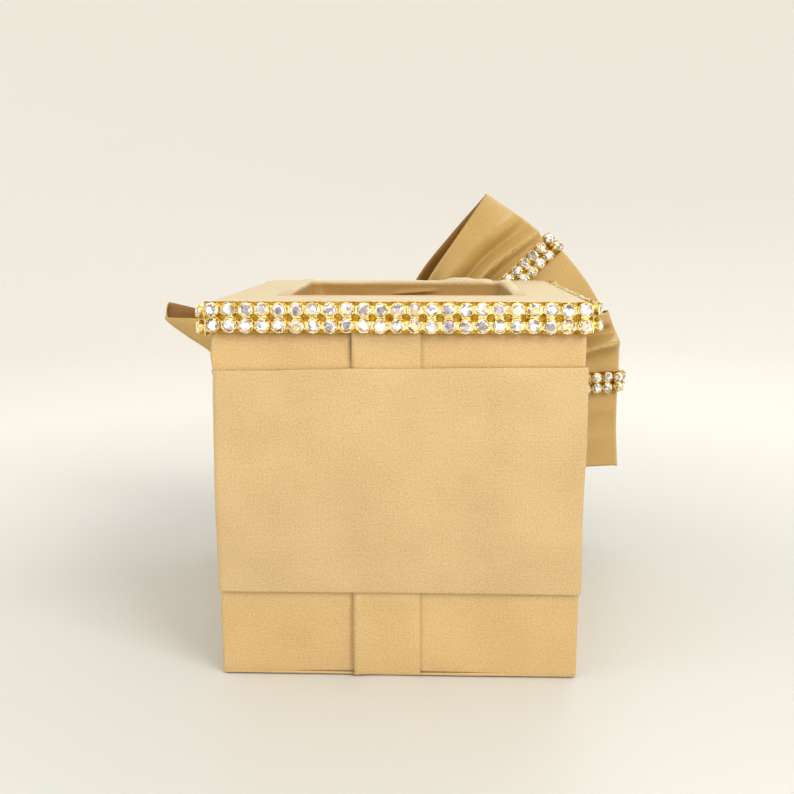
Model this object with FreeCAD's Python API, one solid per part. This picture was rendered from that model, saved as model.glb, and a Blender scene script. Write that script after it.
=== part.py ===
import FreeCAD, Part
import math
import os

os.makedirs("parts", exist_ok=True)

# Satin-covered card box with a lift-off lid, a ribbon-bound opening in the lid, rhinestone
# trim round the lid and a large double bow on its +Y face. Millimetres, +Z up, the origin
# at the centre of the face that it rests on. The plain face looks along -Y.

# Overall sizes
box_width = 120.6
box_depth = 124.0
box_height = 128.0

# Boards and cloth
wall_board = 2.0
base_lip = 2.1
neck_board = 1.5
lid_board = 2.0
satin = 0.5
ribbon = 0.4
base_reveal = 0.5       # dark gap between the base lip and the satin above it

# Lid and the neck that it slides over
lid_depth = 9.8
lid_seam = 0.2
neck_clearance = 0.4
neck_rise = 6.3

# Opening in the lid
opening_x = 78.0
opening_y = 72.0
lining = 0.8
lining_drop = 14.0
rim_width = 3.6
rim_raise = 1.2

# Ribbons round the box
band_height = 76.2
band_bottom = 30.0
band_slack = 0.1
strip_width = 22.4
strip_x = -3.9
groove_clearance = 0.15

# Rhinestone trim: two rows of stones in cups on a woven backing
stone_pitch = 5.3
stone_radius = 2.15
table_radius = 1.3
girdle = 0.5
crown = 1.2
cup_foot_radius = 1.6
cup_radius = 2.4
cup_height = 1.6
backing = 0.6
trim_width = 9.9

# Bow: two figure-eight ribbons, one in front of the other, held by a knot
bow_clearance = 0.8
loop_wall = 1.0
loop_depth = 15.0
pinch_depth = 4.0
gather_length = 16.0
layer_gap = 0.4
knot_x = -4.0
knot_z = 76.0
knot_width = 21.0
knot_height = 32.0
knot_stand = 2.0
pad_width = 44.0
pad_height = 36.0
band_start = 19.0
band_gap = 0.1

half_x = box_width / 2
half_y = box_depth / 2
body_top = box_height - lid_depth - lid_seam
lid_bottom = box_height - lid_depth
trim_stand = backing + cup_height + girdle + crown
face_outer = half_y + ribbon + satin
bow_front = half_y + 2 * trim_stand + bow_clearance
second_layer = bow_front + loop_depth + trim_stand + layer_gap


def save(name, shape):
    shape.exportStep("parts/" + name + ".step")
    print(name, len(shape.Solids), round(shape.Volume, 1), shape.isValid())


def block(low, high):
    size = [high[i] - low[i] for i in range(3)]
    return Part.makeBox(size[0], size[1], size[2], FreeCAD.Vector(low[0], low[1], low[2]))


def tube(out_x, out_y, in_x, in_y, low, high):
    outer = block((-out_x, -out_y, low), (out_x, out_y, high))
    return outer.cut(block((-in_x, -in_y, low - 1), (in_x, in_y, high + 1)))


def prism(points, direction):
    corners = [FreeCAD.Vector(*p) for p in points]
    face = Part.Face(Part.makePolygon(corners + corners[:1]))
    return face.extrude(FreeCAD.Vector(*direction))


def four_boards(out_x, out_y, thick, low, high):
    """Front and back boards run the full width; the side boards stand between them."""
    between = out_y - thick
    return {
        "front": block((-out_x, -out_y, low), (out_x, -between, high)),
        "back": block((-out_x, between, low), (out_x, out_y, high)),
        "left": block((-out_x, -between, low), (thick - out_x, between, high)),
        "right": block((out_x - thick, -between, low), (out_x, between, high)),
    }


def make_base():
    tray = block((-half_x, -half_y, 0), (half_x, half_y, base_lip))
    board = block((satin - half_x, satin - half_y, satin), (half_x - satin, half_y - satin, base_lip))
    half_groove = strip_width / 2 + groove_clearance
    groove = block((strip_x - half_groove, -half_y, 0), (strip_x + half_groove, half_y, ribbon))
    save("base_satin", tray.cut(board).cut(groove))
    save("base_board", board)


def make_body():
    boards = four_boards(half_x - satin, half_y - satin, wall_board, base_lip, body_top)
    for side, shape in boards.items():
        save("wall_" + side, shape)
    inset = satin + wall_board
    necks = four_boards(half_x - inset, half_y - inset, neck_board, base_lip, body_top + neck_rise)
    for side, shape in necks.items():
        save("neck_" + side, shape)
    low = base_lip + base_reveal
    save("side_satin", tube(half_x, half_y, half_x - satin, half_y - satin, low, body_top))


def make_ribbons():
    west = strip_x - strip_width / 2
    east = strip_x + strip_width / 2
    outer = block((west, -half_y - ribbon, 0), (east, half_y + ribbon, body_top))
    save("vertical_ribbon", outer.cut(block((west, -half_y, ribbon), (east, half_y, body_top))))
    in_x = half_x + band_slack
    in_y = half_y + ribbon
    high = band_bottom + band_height
    save("wide_ribbon_band", tube(in_x + satin, in_y + satin, in_x, in_y, band_bottom, high))


def make_lid():
    top = box_height - satin
    skirt_board = wall_board - neck_clearance
    boards = four_boards(half_x - satin, half_y - satin, skirt_board, lid_bottom, top - lid_board)
    for side, shape in boards.items():
        save("lid_skirt_" + side, shape)
    hole_x = opening_x / 2 + lining
    hole_y = opening_y / 2 + lining
    plate = tube(half_x - satin, half_y - satin, hole_x, hole_y, top - lid_board, top)
    save("lid_board", plate)
    skin = block((-half_x, -half_y, lid_bottom), (half_x, half_y, box_height))
    skin = skin.cut(block((satin - half_x, satin - half_y, lid_bottom), (half_x - satin, half_y - satin, top)))
    skin = skin.cut(block((-hole_x, -hole_y, lid_bottom), (hole_x, hole_y, box_height)))
    save("lid_satin", skin)


def make_opening():
    hole_x = opening_x / 2 + lining
    hole_y = opening_y / 2 + lining
    rim_top = box_height + rim_raise
    low = box_height - lining_drop
    panels = four_boards(hole_x, hole_y, lining, low, rim_top)
    save("opening_lining", Part.makeCompound(list(panels.values())))
    strips = four_boards(hole_x + rim_width, hole_y + rim_width, rim_width, box_height, rim_top)
    save("opening_rim", Part.makeCompound(list(strips.values())))


def stone_set(spots):
    """Cups and stones at each (place, outward direction) of a trim."""
    cups = []
    stones = []
    for place, out in spots:
        base = FreeCAD.Vector(*place)
        axis = FreeCAD.Vector(*out)
        cups.append(Part.makeCone(cup_foot_radius, cup_radius, cup_height, base, axis))
        seat = base + axis * cup_height
        stone = Part.makeCylinder(stone_radius, girdle, seat, axis)
        face = Part.makeCone(stone_radius, table_radius, crown, seat + axis * girdle, axis)
        stones.append(stone.fuse(face))
    return cups, stones


def make_lid_trim():
    middle = box_height - trim_width / 2
    sides = {
        "front": (box_width, (1, 0, 0), (0, -1, 0), half_y),
        "back": (box_width, (1, 0, 0), (0, 1, 0), half_y),
        "left": (box_depth, (0, 1, 0), (-1, 0, 0), half_x),
        "right": (box_depth, (0, 1, 0), (1, 0, 0), half_x),
    }
    for side, (length, along, out, face) in sides.items():
        columns = round(length / stone_pitch)
        run = FreeCAD.Vector(*along)
        normal = FreeCAD.Vector(*out)
        start = normal * face - run * (length / 2)
        end = normal * (face + backing) + run * (length / 2)
        low = [min(start[i], end[i]) for i in range(3)]
        high = [max(start[i], end[i]) for i in range(3)]
        low[2] = middle - trim_width / 2
        high[2] = middle + trim_width / 2
        spots = []
        for column in range(columns):
            for row in (-0.5, 0.5):
                place = run * ((column - (columns - 1) / 2) * stone_pitch) + normal * (face + backing)
                place = place + FreeCAD.Vector(0, 0, middle + row * stone_pitch)
                spots.append((place, out))
        cups, stones = stone_set(spots)
        save("trim_settings_" + side, Part.makeCompound([block(low, high)] + cups))
        save("trim_stones_" + side, Part.makeCompound(stones))


# Each loop: its layer's front, the corners of its upper edge from the knot outwards, its
# fold from the upper to the lower corner, and its lower edge back to the knot, as (x, z)
# seen along +Y. The middle place is the fold point that the stone band runs over.
loops = {
    "upper_right": {
        "front": bow_front,
        "upper": [(-12.0, 86.0), (8.6, 127.3)],
        "fold": [(34.6, 165.3), (57.9, 146.2), (68.8, 141.2), (80.5, 127.5), (88.6, 114.5)],
        "lower": [(6.0, 68.0)],
        "middle": 2,
    },
    "lower_left": {
        "front": bow_front,
        "upper": [(-12.0, 85.0)],
        "fold": [(-83.0, 73.0), (-80.0, 42.0), (-57.0, 9.0)],
        "lower": [(-2.0, 66.0)],
        "middle": 1,
    },
    "right": {
        "front": second_layer,
        "upper": [(2.0, 87.0)],
        "fold": [(94.6, 111.2), (100.0, 97.0), (100.6, 78.0), (101.6, 36.5)],
        "lower": [(84.5, 35.8), (2.0, 66.0)],
        "middle": 2,
    },
    "left": {
        "front": second_layer,
        "upper": [(-10.0, 88.0), (-103.0, 110.8)],
        "fold": [(-118.0, 115.0), (-118.0, 108.0), (-96.0, 92.0), (-85.0, 79.0), (-79.0, 62.0), (-77.0, 50.0)],
        "lower": [(-10.0, 65.0)],
        "middle": 3,
    },
}


def loop_frame(loop):
    """Unit direction from the knot to the fold's middle place, and the distance there."""
    reach = loop["fold"][loop["middle"]]
    run = FreeCAD.Vector(reach[0] - knot_x, 0, reach[1] - knot_z)
    return run.normalize(), math.hypot(reach[0] - knot_x, reach[1] - knot_z)


def at(run, across, front, s, y, t):
    """Point at distance s from the knot, depth y behind the loop's front and t across."""
    place = FreeCAD.Vector(knot_x, front + y, knot_z) + run * s + across * t
    return (place.x, place.y, place.z)


def fold_edge(loop):
    """How far the fold stands out from the knot anywhere across the width of the trim."""
    run, reach = loop_frame(loop)
    side = trim_width / 2
    places = []
    for x, z in loop["fold"]:
        s = (x - knot_x) * run.x + (z - knot_z) * run.z
        t = (z - knot_z) * run.x - (x - knot_x) * run.z
        places.append((s, t))
    found = [s for s, t in places if abs(t) <= side]
    for (s0, t0), (s1, t1) in zip(places, places[1:]):
        for t in (-side, side):
            if (t0 - t) * (t1 - t) < 0:
                found.append(s0 + (s1 - s0) * (t - t0) / (t1 - t0))
    return max(found)


def depth_at(s, reach):
    return pinch_depth + (loop_depth - pinch_depth) * min(s / reach, 1.0)


def make_loop(name, loop, knot):
    run, reach = loop_frame(loop)
    across = FreeCAD.Vector(-run.z, 0, run.x)
    front = loop["front"]
    outline = loop["upper"] + loop["fold"] + loop["lower"]
    wide = 2 * band_height
    outside = prism([(x, front, z) for x, z in outline], (0, loop_depth, 0))
    wedge = [(-wide, 0), (wide, 0), (wide, loop_depth), (reach, loop_depth), (0, pinch_depth)]
    wedge = wedge + [(-wide, pinch_depth)]
    corners = [at(run, across, front, s, y, -wide) for s, y in wedge]
    outside = outside.common(prism(corners, across * (2 * wide)))
    inner = [(x - run.x * loop_wall, front, z - run.z * loop_wall) for x, z in loop["fold"]]
    first = at(run, across, front, reach, 0, wide)
    last = at(run, across, front, reach, 0, -wide)
    side = 1 if (FreeCAD.Vector(*inner[0]) - FreeCAD.Vector(*inner[-1])).dot(across) > 0 else -1
    ends = [first, last] if side > 0 else [last, first]
    near = [at(run, across, front, gather_length, 0, -side * wide)]
    near = near + [at(run, across, front, gather_length, 0, side * wide)]
    hollow = prism([ends[0]] + inner + [ends[1]] + near, (0, loop_depth, 0))
    gap = [(gather_length, loop_wall), (wide, loop_wall), (wide, loop_depth - loop_wall)]
    gap = gap + [(reach, loop_depth - loop_wall)]
    gap = gap + [(gather_length, depth_at(gather_length, reach) - loop_wall)]
    corners = [at(run, across, front, s, y, -wide) for s, y in gap]
    hollow = hollow.common(prism(corners, across * (2 * wide)))
    save("bow_loop_" + name, outside.cut(hollow).cut(knot))


def make_loop_band(name, loop):
    """The trim runs out along the near leaf, over the fold and back along the far leaf."""
    run, reach = loop_frame(loop)
    across = FreeCAD.Vector(-run.z, 0, run.x)
    front = loop["front"]
    edge = fold_edge(loop) + band_gap
    start_depth = depth_at(band_start, reach)
    path = [(band_start, -backing), (edge + backing, -backing)]
    path = path + [(edge + backing, loop_depth + backing), (reach, loop_depth + backing)]
    path = path + [(band_start, start_depth + backing), (band_start, start_depth)]
    path = path + [(reach, loop_depth), (edge, loop_depth), (edge, 0), (band_start, 0)]
    corners = [at(run, across, front, s, y, -trim_width / 2) for s, y in path]
    strap = prism(corners, across * trim_width)
    slope = math.atan2(loop_depth - start_depth, reach - band_start)
    far_out = FreeCAD.Vector(0, math.cos(slope), 0) - run * math.sin(slope)
    count = int((reach - band_start) / stone_pitch)
    spots = []
    for row in (-0.5, 0.5):
        t = row * stone_pitch
        for column in range(count):
            s = reach - (column + 0.5) * stone_pitch
            near = at(run, across, front, s, -backing, t)
            rise = (s - band_start) * math.tan(slope) + start_depth + backing
            spots.append((near, (0, -1, 0)))
            spots.append((at(run, across, front, s, rise, t), far_out))
        fold_columns = int(loop_depth / stone_pitch)
        for column in range(fold_columns):
            y = loop_depth / 2 + (column - (fold_columns - 1) / 2) * stone_pitch
            spots.append((at(run, across, front, edge + backing, y, t), run))
    cups, stones = stone_set(spots)
    save("bow_settings_" + name, Part.makeCompound([strap] + cups))
    save("bow_stones_" + name, Part.makeCompound(stones))


def make_knot():
    """Gathered centre wrap, from the pad behind the bow to the trim on its outer side."""
    far = second_layer + pinch_depth + knot_stand
    low = (knot_x - knot_width / 2, bow_front, knot_z - knot_height / 2)
    high = (knot_x + knot_width / 2, far, knot_z + knot_height / 2)
    knot = block(low, high)
    vertical = [e for e in knot.Edges if abs(e.Vertexes[0].Z - e.Vertexes[1].Z) < 0.01]
    across = [e for e in vertical if abs(e.Vertexes[0].Y - e.Vertexes[1].Y) < 0.01]
    knot = knot.makeFillet(knot_stand, across)
    save("bow_knot", knot)
    backing_box = block((knot_x - trim_width / 2, far, low[2] + knot_stand),
                        (knot_x + trim_width / 2, far + backing, high[2] - knot_stand))
    rows = int((knot_height - 2 * knot_stand) / stone_pitch)
    spots = []
    for row in range(rows):
        for column in (-0.5, 0.5):
            z = knot_z + (row - (rows - 1) / 2) * stone_pitch
            spots.append(((knot_x + column * stone_pitch, far + backing, z), (0, 1, 0)))
    cups, stones = stone_set(spots)
    save("knot_settings", Part.makeCompound([backing_box] + cups))
    save("knot_stones", Part.makeCompound(stones))
    pad_low = (knot_x - pad_width / 2, face_outer, knot_z - pad_height / 2)
    pad_high = (knot_x + pad_width / 2, bow_front - trim_stand - bow_clearance, knot_z + pad_height / 2)
    stem_low = (knot_x - knot_width / 2, pad_high[1], knot_z - knot_height / 2)
    stem_high = (knot_x + knot_width / 2, bow_front, knot_z + knot_height / 2)
    save("bow_pad", block(pad_low, pad_high).fuse(block(stem_low, stem_high)).removeSplitter())
    return knot


make_base()
make_body()
make_ribbons()
make_lid()
make_opening()
make_lid_trim()
knot_shape = make_knot()
for loop_name, loop_sizes in loops.items():
    make_loop(loop_name, loop_sizes, knot_shape)
    make_loop_band(loop_name, loop_sizes)
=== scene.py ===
import math
import bmesh
import bpy
import numpy as np
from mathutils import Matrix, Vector


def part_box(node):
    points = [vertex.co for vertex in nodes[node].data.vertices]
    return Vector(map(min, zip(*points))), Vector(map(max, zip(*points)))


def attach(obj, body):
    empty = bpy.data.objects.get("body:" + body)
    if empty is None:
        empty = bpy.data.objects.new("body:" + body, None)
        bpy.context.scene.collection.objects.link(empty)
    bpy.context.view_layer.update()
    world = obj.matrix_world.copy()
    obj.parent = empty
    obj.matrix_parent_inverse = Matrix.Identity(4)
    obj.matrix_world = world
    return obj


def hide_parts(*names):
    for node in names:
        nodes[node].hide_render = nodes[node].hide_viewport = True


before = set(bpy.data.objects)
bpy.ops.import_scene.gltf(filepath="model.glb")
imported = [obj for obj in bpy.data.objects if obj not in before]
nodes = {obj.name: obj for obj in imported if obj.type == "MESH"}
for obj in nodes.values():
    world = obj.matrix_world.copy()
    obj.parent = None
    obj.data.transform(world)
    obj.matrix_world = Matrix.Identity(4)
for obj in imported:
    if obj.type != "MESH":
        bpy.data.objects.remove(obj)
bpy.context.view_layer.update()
mm = 0.001
print("frame loaded:", len(nodes), "nodes")


def ease(low, high, x):
    t = np.clip((np.asarray(x, float) - low) / (high - low), 0.0, 1.0)
    return t * t * (3 - 2 * t)


driftWaves = 5
driftPeak = 3.2


def drift(a, b, seed, scale):  # smooth uneven field between about -1 and 1, the same on every run
    rng = np.random.default_rng(seed)
    total = 0.0
    for wave in range(driftWaves):
        angle, phase = rng.uniform(0, math.tau, 2)
        pitch = scale * rng.uniform(0.6, 1.7)
        total = total + np.sin((a * math.cos(angle) + b * math.sin(angle)) * math.tau / pitch + phase)
    return total / driftPeak


def bump(x, centre, width):  # 1 at the centre, fading on both sides
    return np.exp(-(((x - centre) / width) ** 2))


stepsPerSpan = 24


def through(points, count):  # smooth open curve through a few points, evenly spaced
    p = np.array(points, float)
    p = np.concatenate([[2 * p[0] - p[1]], p, [2 * p[-1] - p[-2]]])
    found = []
    for i in range(1, len(p) - 2):
        for t in np.linspace(0, 1, stepsPerSpan, endpoint=False):
            a, b, c, d = p[i - 1], p[i], p[i + 1], p[i + 2]
            curve = 2 * b + (c - a) * t + (2 * a - 5 * b + 4 * c - d) * t * t
            found.append(0.5 * (curve + (3 * b - a - 3 * c + d) * t ** 3))
    found.append(p[-2])
    return evenly(np.array(found), count)


def evenly(line, count):
    steps = np.linalg.norm(np.diff(line, axis=0), axis=1)
    run = np.concatenate([[0], np.cumsum(steps)])
    at = np.linspace(0, run[-1], count)
    return np.stack([np.interp(at, run, line[:, k]) for k in range(line.shape[1])], axis=1)


# closed path and its outward directions, clockwise from the +X end of the +Y side
def roundedPath(halfX, halfY, radius, perSide, perCorner):
    corners = [(1, 1), (1, -1), (-1, -1), (-1, 1)]
    points, outs = [], []
    for k, (sx, sy) in enumerate(corners):
        cx, cy = sx * (halfX - radius), sy * (halfY - radius)
        start = math.pi / 2 - k * math.pi / 2
        for i in range(perCorner + 1):
            a = start - i / perCorner * math.pi / 2
            points.append((cx + radius * math.cos(a), cy + radius * math.sin(a)))
            outs.append((math.cos(a), math.sin(a)))
        nx, ny = corners[(k + 1) % 4]
        ex, ey = nx * (halfX - radius), ny * (halfY - radius)
        last = start - math.pi / 2
        ax, ay = cx + radius * math.cos(last), cy + radius * math.sin(last)
        bx, by = ex + radius * math.cos(last), ey + radius * math.sin(last)
        for i in range(1, perSide):
            t = i / perSide
            points.append((ax + (bx - ax) * t, ay + (by - ay) * t))
            outs.append((math.cos(last), math.sin(last)))
    return np.array(points), np.array(outs)


def lengthsAlong(path, closed):
    follow = np.concatenate([path, path[:1]]) if closed else path
    steps = np.linalg.norm(np.diff(follow, axis=0), axis=1)
    return np.concatenate([[0], np.cumsum(steps)])


def placed(name, mesh):
    piece = bpy.data.objects.new(name, mesh)
    bpy.context.scene.collection.objects.link(piece)
    return piece


def finishCloth(name, mesh, uv):
    layer = mesh.uv_layers.new(name="cloth")
    layer.data.foreach_set("uv", np.array(uv, np.float32).ravel())
    mesh.polygons.foreach_set("use_smooth", [True] * len(mesh.polygons))
    return placed(name, mesh)


# grid is rows by columns of points, uv the same in metres; closed joins the last column to the first
def clothMesh(name, grid, uv, closed=False, flip=False):
    rows, columns = grid.shape[:2]
    mesh = bpy.data.meshes.new(name)
    faces, corners = [], []
    last = columns if closed else columns - 1
    for i in range(rows - 1):
        for j in range(last):
            n = (j + 1) % columns
            quad = [i * columns + j, i * columns + n, (i + 1) * columns + n, (i + 1) * columns + j]
            place = [(i, j), (i, j + 1), (i + 1, j + 1), (i + 1, j)]
            if flip:
                quad, place = quad[::-1], place[::-1]
            faces.append(quad)
            corners.extend(place)
    mesh.from_pydata(grid.reshape(-1, 3).tolist(), [], faces)
    return finishCloth(name, mesh, [uv[i, j] for i, j in corners])


def sheetUv(grid):  # distances across and along the cloth, for the weave
    rows, columns = grid.shape[:2]
    flat = np.zeros((rows, columns + 1, 2))
    flat[:, :, 0] = lengthsAlong(grid[rows // 2], True)
    flat[:, :, 1] = lengthsAlong(grid[:, columns // 2], False)[:, None]
    return flat


# closed cloth: the face, its reverse with uv a metre further on, and the four edges
def shellMesh(name, grid, uv, thickness):
    rows, columns = grid.shape[:2]
    down, right = np.gradient(grid, axis=0), np.gradient(grid, axis=1)
    normal = np.cross(down, right)
    normal /= np.maximum(np.linalg.norm(normal, axis=2), 1e-12)[:, :, None]
    front, back = grid + normal * thickness / 2, grid - normal * thickness / 2
    faces, corners = [], []
    size = rows * columns
    for i in range(rows - 1):
        for j in range(columns - 1):
            place = [(i, j), (i + 1, j), (i + 1, j + 1), (i, j + 1)]
            quad = [a * columns + b for a, b in place]
            faces.append(quad)
            corners.extend([(*uv[p], 0) for p in place])
            faces.append([k + size for k in quad[::-1]])
            corners.extend([(*uv[p], 1) for p in place[::-1]])
    edge = [(i, 0) for i in range(rows)]
    edge += [(rows - 1, j) for j in range(1, columns)]
    edge += [(i, columns - 1) for i in range(rows - 2, -1, -1)]
    edge += [(0, j) for j in range(columns - 2, 0, -1)]
    for a, b in zip(edge, edge[1:] + edge[:1]):
        m, n = a[0] * columns + a[1], b[0] * columns + b[1]
        faces.append([n, m, m + size, n + size])
        corners.extend([(*uv[p], 0) for p in (b, a, a, b)])
    mesh = bpy.data.meshes.new(name)
    mesh.from_pydata(np.concatenate([front.reshape(-1, 3), back.reshape(-1, 3)]).tolist(), [], faces)
    return finishCloth(name, mesh, [(u, v + side) for u, v, side in corners])


def closeEnds(piece, columns, ends):  # a face over the first or last ring of a closed grid
    shell = bmesh.new()
    shell.from_mesh(piece.data)
    shell.verts.ensure_lookup_table()
    rings = {"first": range(columns), "last": range(len(shell.verts) - columns, len(shell.verts))}
    for end in ends:
        shell.faces.new([shell.verts[k] for k in rings[end]])
    bmesh.ops.recalc_face_normals(shell, faces=shell.faces)
    shell.to_mesh(piece.data)
    shell.free()


def thicken(piece, thickness):
    wall = piece.modifiers.new("thickness", "SOLIDIFY")
    wall.thickness = thickness
    wall.offset = -1.0
    wall.use_even_offset = False


def dress(piece, body, material, slot, *replaced):
    piece.data.materials.clear()
    piece.data.materials.append(material)
    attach(piece, body)
    if replaced:
        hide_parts(*replaced)


def newMaterial(name):
    material = bpy.data.materials.new(name)
    material.use_nodes = True
    tree = material.node_tree
    shader = tree.nodes["Principled BSDF"]
    return material, tree, shader


def link(tree, a, out, b, into):
    tree.links.new(a.outputs[out], b.inputs[into])


def feed(tree, value, into):  # another node's socket is linked, a number or a colour is set
    if isinstance(value, bpy.types.NodeSocket):
        tree.links.new(value, into)
    else:
        into.default_value = value


def mathNode(tree, operation, *values):
    node = tree.nodes.new("ShaderNodeMath")
    node.operation = operation
    for value, into in zip(values, node.inputs):
        feed(tree, value, into)
    return node.outputs["Value"]


def noiseNode(tree, place, space, scale, detail=2.0):
    noise = tree.nodes.new("ShaderNodeTexNoise")
    noise.inputs["Scale"].default_value = scale
    noise.inputs["Detail"].default_value = detail
    link(tree, place, space, noise, "Vector")
    return noise


def bumpNode(tree, height, depth, strength, before=None):
    relief = tree.nodes.new("ShaderNodeBump")
    relief.inputs["Distance"].default_value = depth
    relief.inputs["Strength"].default_value = strength
    tree.links.new(height, relief.inputs["Height"])
    if before is not None:
        tree.links.new(before, relief.inputs["Normal"])
    return relief.outputs["Normal"]


def tintBase(tree, shader, share, colour, tint):  # the base colour is the colour times the tint
    blend = tree.nodes.new("ShaderNodeMix")
    blend.data_type = "RGBA"
    blend.blend_type = "MULTIPLY"
    feed(tree, share, blend.inputs["Factor"])
    feed(tree, colour, blend.inputs[6])
    feed(tree, tint, blend.inputs[7])
    tree.links.new(blend.outputs[2], shader.inputs["Base Color"])


def rampOf(tree, stops):
    ramp = tree.nodes.new("ShaderNodeValToRGB")
    while len(ramp.color_ramp.elements) < len(stops):
        ramp.color_ramp.elements.new(0.5)
    for element, (place, colour) in zip(ramp.color_ramp.elements, stops):
        element.position = place
        element.color = (*colour, 1)
    return ramp


satinLook = {
    "threadsPerMetre": 4200,
    "grainPerMetre": 1900,
    "cloudPerMetre": 45,
    "streakPerMetre": 1400,
    "creasePerMetre": 28,
    "grainShare": 0.70,
    "streakShare": 0.08,
    "cloudShare": 0.24,
    "weaveDepth": 0.00003,
    "grainDepth": 0.000018,
    "softCreaseDepth": 0.00016,
    "sheenRoughness": 0.4,
    "specular": 0.42,
    "anisotropic": 0.15,
}


# fine threads, faint grain and streaks, uneven dye and soft creases
def satin(name, colour, shade, light, roughness, sheen, creases):
    look = satinLook
    material, tree, shader = newMaterial(name)
    shader.inputs["Roughness"].default_value = roughness
    shader.inputs["Sheen Weight"].default_value = sheen
    shader.inputs["Sheen Roughness"].default_value = look["sheenRoughness"]
    shader.inputs["Sheen Tint"].default_value = (*light, 1)
    shader.inputs["Specular IOR Level"].default_value = look["specular"]
    shader.inputs["Anisotropic"].default_value = look["anisotropic"]
    place = tree.nodes.new("ShaderNodeTexCoord")
    grain = noiseNode(tree, place, "UV", look["grainPerMetre"])
    cloud = noiseNode(tree, place, "Object", look["cloudPerMetre"], 3.0)
    stretch = tree.nodes.new("ShaderNodeMapping")
    stretch.inputs["Scale"].default_value = (0.05, 1.0, 1.0)
    link(tree, place, "UV", stretch, "Vector")
    streak = noiseNode(tree, stretch, "Vector", look["streakPerMetre"])
    faint = mathNode(tree, "MULTIPLY", streak.outputs["Fac"], look["streakShare"])
    fine = mathNode(tree, "MULTIPLY_ADD", grain.outputs["Fac"], look["grainShare"], faint)
    dye = mathNode(tree, "MULTIPLY_ADD", cloud.outputs["Fac"], look["cloudShare"], fine)
    ramp = rampOf(tree, [(0.30, shade), (0.5, colour), (0.72, light)])
    tree.links.new(dye, ramp.inputs["Fac"])
    link(tree, ramp, "Color", shader, "Base Color")
    threads = []
    for direction, perWave in (("X", 20), ("Y", 30)):
        thread = tree.nodes.new("ShaderNodeTexWave")
        thread.bands_direction = direction
        thread.inputs["Scale"].default_value = look["threadsPerMetre"] / perWave
        link(tree, place, "UV", thread, "Vector")
        threads.append(thread.outputs["Fac"])
    weave = mathNode(tree, "MULTIPLY", *threads)
    crease = noiseNode(tree, place, "Object", look["creasePerMetre"], 4.0)
    crease.inputs["Distortion"].default_value = 1.2
    normal = bumpNode(tree, crease.outputs["Fac"], look["softCreaseDepth"] * creases, 0.5)
    normal = bumpNode(tree, grain.outputs["Fac"], look["grainDepth"], 0.5, normal)
    normal = bumpNode(tree, weave, look["weaveDepth"], 0.6, normal)
    tree.links.new(normal, shader.inputs["Normal"])
    return material


boardFleckDepth = 0.00006


def boardMaterial(name, colour, shade, speckle, roughness):  # pressed board or paper with flecks
    material, tree, shader = newMaterial(name)
    shader.inputs["Roughness"].default_value = roughness
    place = tree.nodes.new("ShaderNodeTexCoord")
    fleck = noiseNode(tree, place, "Object", speckle, 6.0)
    ramp = rampOf(tree, [(0.3, shade), (0.65, colour)])
    link(tree, fleck, "Fac", ramp, "Fac")
    link(tree, ramp, "Color", shader, "Base Color")
    tree.links.new(bumpNode(tree, fleck.outputs["Fac"], boardFleckDepth, 0.6), shader.inputs["Normal"])
    return material


giltLook = {
    "wearPerMetre": 700,
    "wear": [(0.30, (0.42, 0.27, 0.05)), (0.48, (0.80, 0.60, 0.18)), (0.64, (1.0, 0.90, 0.48))],
    # painted shade: the browner gilt of the plates behind the stones
    "shadeBehindStones": (0.44, 0.30, 0.10, 1),
    "roughness": (0.12, 0.34),
}


def goldMaterial():  # bright gilt, with painted shade on the plates behind the stones: their front faces carry a mark that turns the gilt browner
    material, tree, shader = newMaterial("goldSetting")
    shader.inputs["Metallic"].default_value = 1.0
    place = tree.nodes.new("ShaderNodeTexCoord")
    worn = noiseNode(tree, place, "Object", giltLook["wearPerMetre"], 3.0)
    ramp = rampOf(tree, giltLook["wear"])
    link(tree, worn, "Fac", ramp, "Fac")
    paintedPlateShade = tree.nodes.new("ShaderNodeAttribute")
    paintedPlateShade.attribute_name = "paintedPlateShade"
    tintBase(tree, shader, paintedPlateShade.outputs["Fac"], ramp.outputs["Color"], giltLook["shadeBehindStones"])
    rough = tree.nodes.new("ShaderNodeMapRange")
    rough.inputs["To Min"].default_value = giltLook["roughness"][0]
    rough.inputs["To Max"].default_value = giltLook["roughness"][1]
    link(tree, worn, "Fac", rough, "Value")
    link(tree, rough, "Result", shader, "Roughness")
    return material


stoneLook = {
    "paintedFacetReflections": [
        (0.00, (1.0, 1.0, 1.0)), (0.28, (0.82, 0.79, 0.89)), (0.44, (0.50, 0.45, 0.50)),
        (0.53, (1.0, 1.0, 1.0)), (0.70, (0.32, 0.27, 0.27)), (0.80, (1.0, 0.99, 0.97)),
        (0.90, (0.90, 0.70, 0.34)),
    ],
    "fires": [
        (0.0, (0.20, 0.15, 0.16)), (0.12, (0.74, 0.69, 0.80)), (0.28, (1.0, 1.0, 1.0)),
        (0.60, (0.48, 0.43, 0.46)), (0.74, (1.0, 1.0, 1.0)), (0.94, (0.90, 0.68, 0.28)),
    ],
    "firesPerMetre": 880,
    "fireShare": 0.9,
    "cutDepth": 0.0005,
}


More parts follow.
